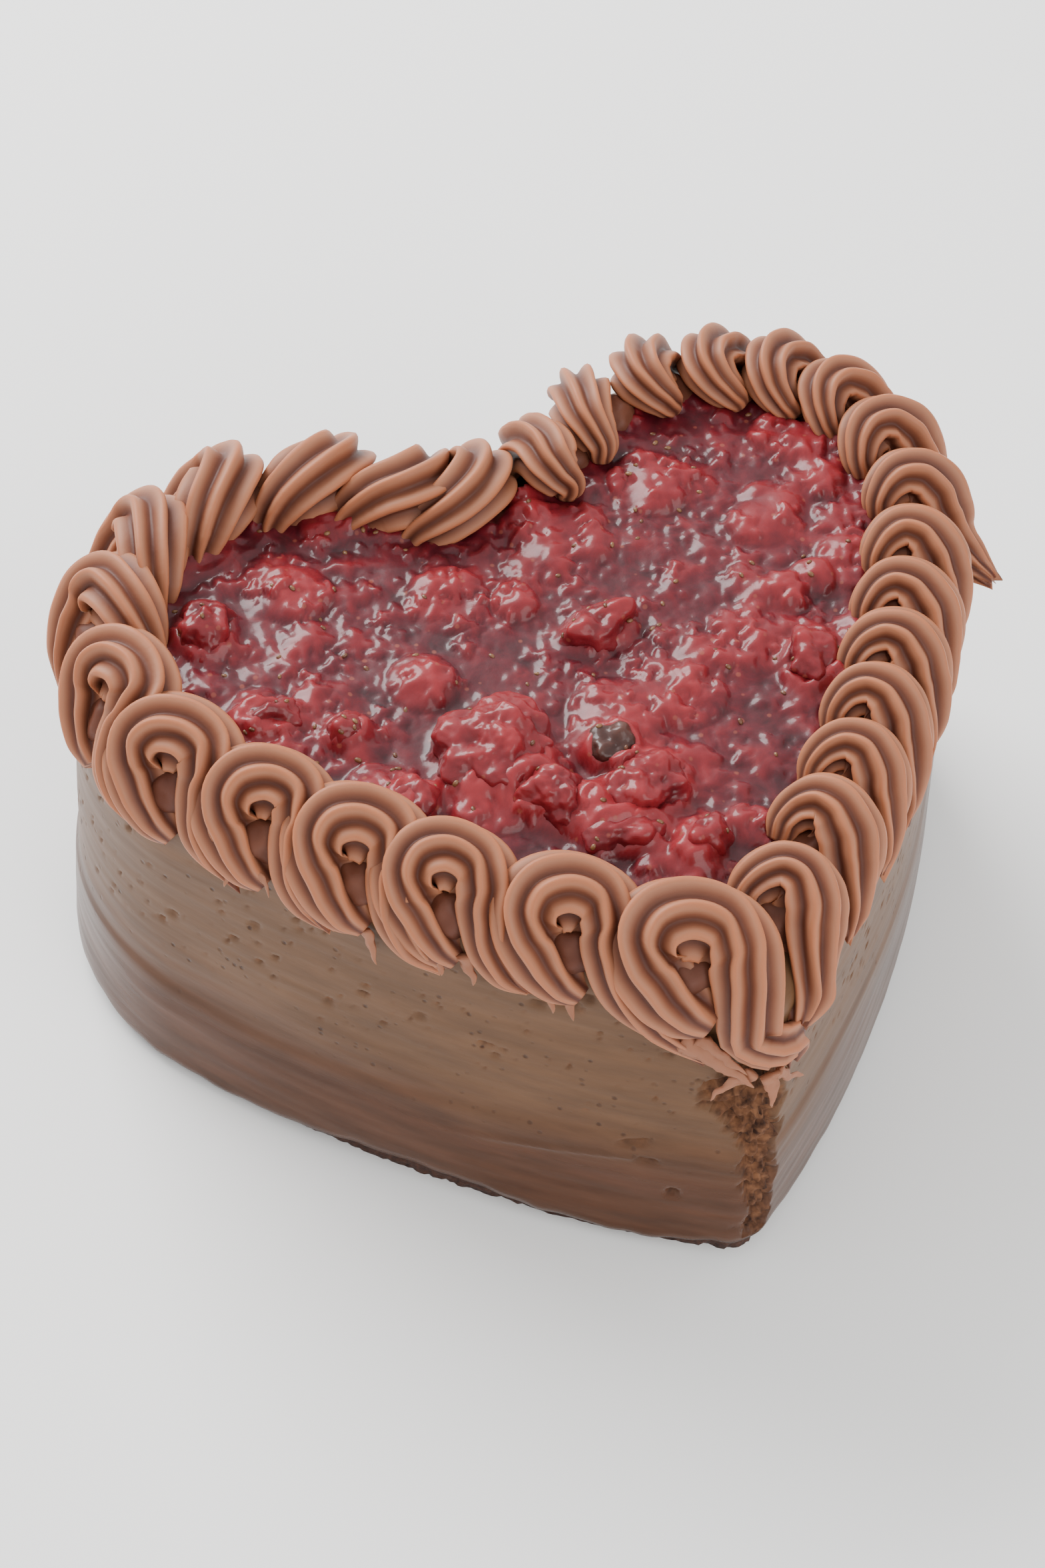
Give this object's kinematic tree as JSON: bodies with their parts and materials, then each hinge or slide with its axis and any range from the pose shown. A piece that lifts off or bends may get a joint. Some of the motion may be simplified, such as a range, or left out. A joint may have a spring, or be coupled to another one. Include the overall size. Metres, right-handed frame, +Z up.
{
  "type": "heart-shaped cake",
  "caption": "Heart-shaped chocolate cake with a smooth iced wall, a rim of piped buttercream loops and a glossy dark berry compote on top.",
  "frame": {"origin": "on the floor, in the middle of the cake's outline box", "axes": "+Z up, the point of the heart towards -Y, its cleft towards +Y, +X to the right of one who looks along +Y"},
  "size_m": [0.1594, 0.1404, 0.0815],
  "materials": {
    "sponge": "moist dark chocolate sponge, bare only in the shadow under the icing's lower edge",
    "icing": "thin smoothed chocolate icing, satin grey-brown above and glossier red-brown below, with drag marks and small pits",
    "buttercream": "soft milk chocolate buttercream from a star nozzle, matt with a faint sheen",
    "compote": "wet dark red berry compote, purple where the syrup stands between the lumps",
    "fruit": "soft cooked berries under glossy syrup",
    "dark_fruit": "a brown, nearly black piece of cooked fruit under syrup"
  },
  "bodies": {
    "root": {"cake": "sponge", "compote": "compote", "fruit_01": "fruit", "fruit_02": "fruit", "fruit_03": "fruit", "fruit_04": "fruit", "fruit_05": "fruit", "fruit_06": "dark_fruit", "fruit_07": "fruit", "fruit_08": "fruit", "fruit_09": "fruit", "fruit_10": "fruit", "fruit_11": "fruit", "fruit_12": "fruit", "icing": "icing", "shell_left_01": "buttercream", "shell_left_02": "buttercream", "shell_left_03": "buttercream", "shell_left_04": "buttercream", "shell_left_05": "buttercream", "shell_left_06": "buttercream", "shell_left_07": "buttercream", "shell_left_08": "buttercream", "shell_left_09": "buttercream", "shell_left_10": "buttercream", "shell_left_11": "buttercream", "shell_left_12": "buttercream", "shell_left_13": "buttercream", "shell_right_01": "buttercream", "shell_right_02": "buttercream", "shell_right_03": "buttercream", "shell_right_04": "buttercream", "shell_right_05": "buttercream", "shell_right_06": "buttercream", "shell_right_07": "buttercream", "shell_right_08": "buttercream", "shell_right_09": "buttercream", "shell_right_10": "buttercream", "shell_right_11": "buttercream", "shell_right_12": "buttercream", "shell_right_13": "buttercream", "shell_right_14": "buttercream", "shell_right_15": "buttercream"}
  },
  "joints": []
}
